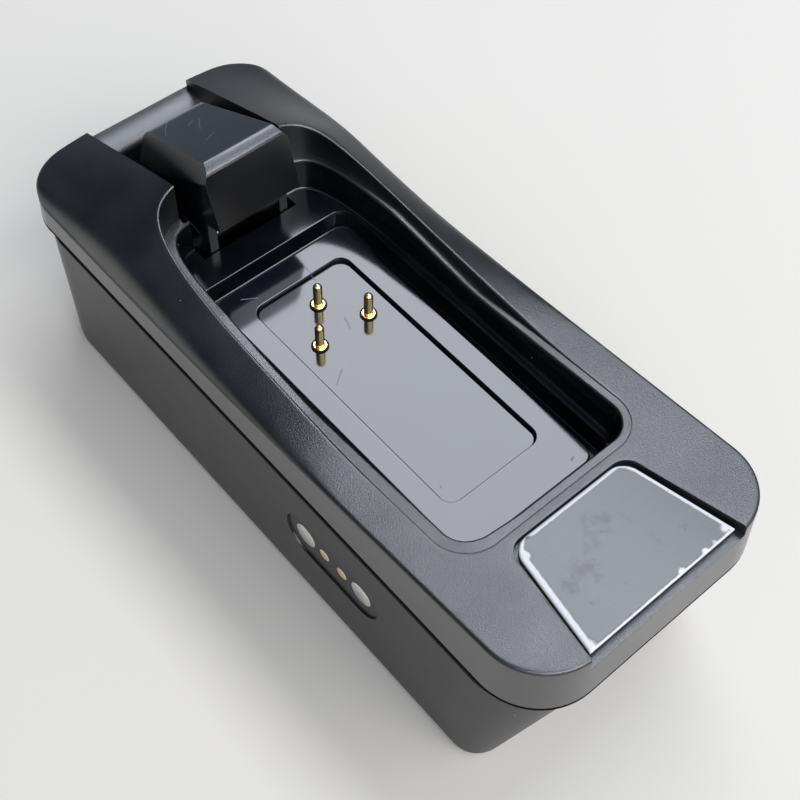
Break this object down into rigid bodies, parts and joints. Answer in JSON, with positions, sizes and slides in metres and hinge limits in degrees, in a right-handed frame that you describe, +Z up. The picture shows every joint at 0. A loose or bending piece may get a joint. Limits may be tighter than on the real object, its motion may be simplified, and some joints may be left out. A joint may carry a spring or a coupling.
{
  "type": "bicycle shifter battery charger",
  "caption": "Desktop charger for a clip-in shifter battery: sunk cradle with sprung contact pins, sprung thumb latch, front indicator window and magnetic side port.",
  "frame": {"origin": "middle of the footprint, on the surface the charger stands on", "axes": "+X to the charger's right, +Y towards the latch, +Z up; the indicator window is at -Y"},
  "size_m": [0.035, 0.089, 0.037],
  "materials": {
    "base_shell": "satin moulded",
    "top_cover": "fine matte grain, gloss in the cradle",
    "cradle_plate": "polished",
    "contact_panel": "polished",
    "display_window": "smoked, dusty",
    "latch": "satin moulded",
    "steel": "bright wire and pins",
    "gold": "gold plated",
    "rubber_black": "matte",
    "port_insert": "smooth moulded",
    "magnet": "nickel plated",
    "board_green": "solder mask",
    "chip_black": "moulded",
    "ferrite": "sintered",
    "ceramic": "fired",
    "led_white": "clear dome"
  },
  "bodies": {
    "charger": {"base_shell": "base_shell", "top_cover": "top_cover", "cradle_plate": "cradle_plate", "contact_panel": "contact_panel", "display_window": "display_window", "latch_pin": "steel", "latch_spring": "steel", "barrel_back": "gold", "barrel_left": "gold", "barrel_right": "gold", "pin_spring_back": "steel", "pin_spring_left": "steel", "pin_spring_right": "steel", "pin_seal_back": "rubber_black", "pin_seal_left": "rubber_black", "pin_seal_right": "rubber_black", "port_insert": "port_insert", "port_magnet_front": "magnet", "port_magnet_back": "magnet", "port_contact_front": "gold", "port_contact_back": "gold", "port_board": "board_green", "main_board": "board_green", "charge_chip": "chip_black", "power_coil": "ferrite", "board_capacitors": "ceramic", "contact_board": "board_green", "link_header": "chip_black", "link_pins": "gold", "indicator_board": "board_green", "indicator_leds": "led_white", "cover_screws": "steel", "board_screws": "steel", "foot_front_left": "rubber_black", "foot_front_right": "rubber_black", "foot_back_left": "rubber_black", "foot_back_right": "rubber_black"},
    "thumb_latch": {"latch": "latch"},
    "pin_back": {"plunger_back": "gold"},
    "pin_left": {"plunger_left": "gold"},
    "pin_right": {"plunger_right": "gold"}
  },
  "joints": [
    {"name": "latch_pivot", "type": "hinge", "parent": "charger", "child": "thumb_latch", "pos_m": [0, 0.029, 0.0168], "axis": [-1, 0, 0], "range_deg": [0, 10], "stiffness_Nm_per_rad": 0.3, "springref_deg": -5.73, "deforming": ["latch_spring"]},
    {"name": "pin_back_travel", "type": "slide", "parent": "charger", "child": "pin_back", "axis": [0, 0, -1], "range_m": [0, 0.0014], "stiffness_N_per_m": 300, "springref_m": -0.0005, "deforming": ["pin_spring_back"]},
    {"name": "pin_left_travel", "type": "slide", "parent": "charger", "child": "pin_left", "axis": [0, 0, -1], "range_m": [0, 0.0014], "stiffness_N_per_m": 300, "springref_m": -0.0005, "deforming": ["pin_spring_left"]},
    {"name": "pin_right_travel", "type": "slide", "parent": "charger", "child": "pin_right", "axis": [0, 0, -1], "range_m": [0, 0.0014], "stiffness_N_per_m": 300, "springref_m": -0.0005, "deforming": ["pin_spring_right"]}
  ]
}
